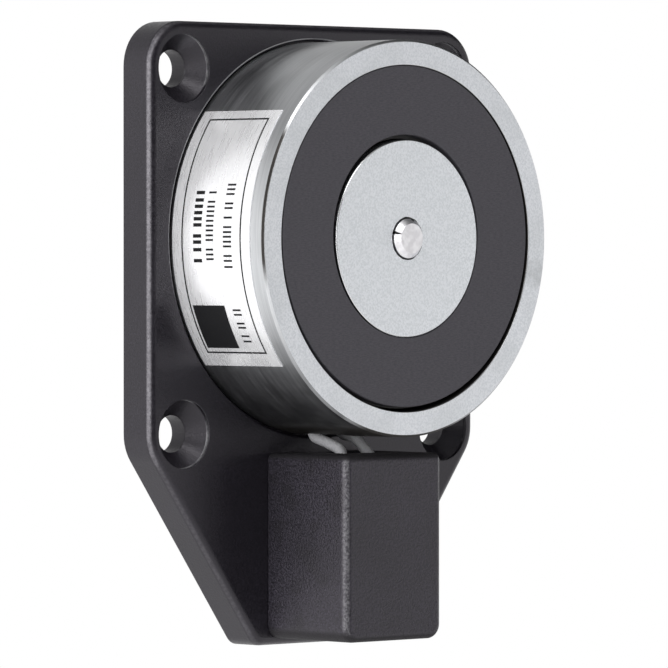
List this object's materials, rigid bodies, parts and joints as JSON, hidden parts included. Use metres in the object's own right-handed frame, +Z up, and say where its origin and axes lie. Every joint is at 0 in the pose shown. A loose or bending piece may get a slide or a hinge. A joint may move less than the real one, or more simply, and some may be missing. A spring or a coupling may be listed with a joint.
{
  "type": "electromagnetic door holder",
  "caption": "Round pot electromagnet with a sprung centre pin on a tapered wall plate, with a clipped-on terminal box below it, for holding a door open.",
  "frame": {"origin": "the magnet's axis at the wall plane, which is the back of the base plate", "axes": "-Y out of the wall along the magnet's axis towards the door, +Z up the wall, +X to the right as seen from the door"},
  "size_m": [0.08, 0.0314, 0.1103],
  "materials": {
    "plate_plastic": "black glass-filled polyamide, spark-textured",
    "cover_plastic": "black polyamide, satin",
    "pot_steel": "turned and galvanised steel, ground rim",
    "core_steel": "turned and galvanised steel, ground face",
    "bobbin_plastic": "black glass-filled polyamide",
    "winding_copper": "enamelled copper wire",
    "tape_film": "yellow polyester tape",
    "ring_plastic": "dark grey fibre-reinforced plastic, matt",
    "pin_steel": "turned stainless steel",
    "spring_steel": "drawn spring wire",
    "screw_zinc": "bright zinc plate",
    "label_foil": null,
    "lead_insulation": "light grey insulation, tinned end",
    "block_plastic": "natural polyamide",
    "tube_brass": "turned brass",
    "diode_epoxy": "black moulded epoxy with one pale band",
    "grommet_rubber": "black soft rubber"
  },
  "bodies": {
    "housing": {"base_plate": "plate_plastic", "terminal_cover": "cover_plastic", "magnet_pot": "pot_steel", "magnet_core": "core_steel", "coil_bobbin": "bobbin_plastic", "coil_winding": "winding_copper", "winding_tape": "tape_film", "cover_ring": "ring_plastic", "ejector_spring": "spring_steel", "magnet_fixing_screw": "screw_zinc", "locating_pin": "pin_steel", "rating_label": "label_foil", "coil_lead_left": "lead_insulation", "coil_lead_right": "lead_insulation", "terminal_block": "block_plastic", "terminal_tube_left": "tube_brass", "terminal_tube_right": "tube_brass", "terminal_screws": "screw_zinc", "terminal_block_screw": "screw_zinc", "suppression_diode": "diode_epoxy", "cable_grommet": "grommet_rubber"},
    "ejector": {"ejector_pin": "pin_steel"}
  },
  "joints": [
    {"name": "ejector_slide", "type": "slide", "parent": "housing", "child": "ejector", "axis": [0, 1, 0], "range_m": [0, 0.0012], "stiffness_N_per_m": 2500, "springref_m": -0.001, "deforming": ["ejector_spring"]}
  ]
}
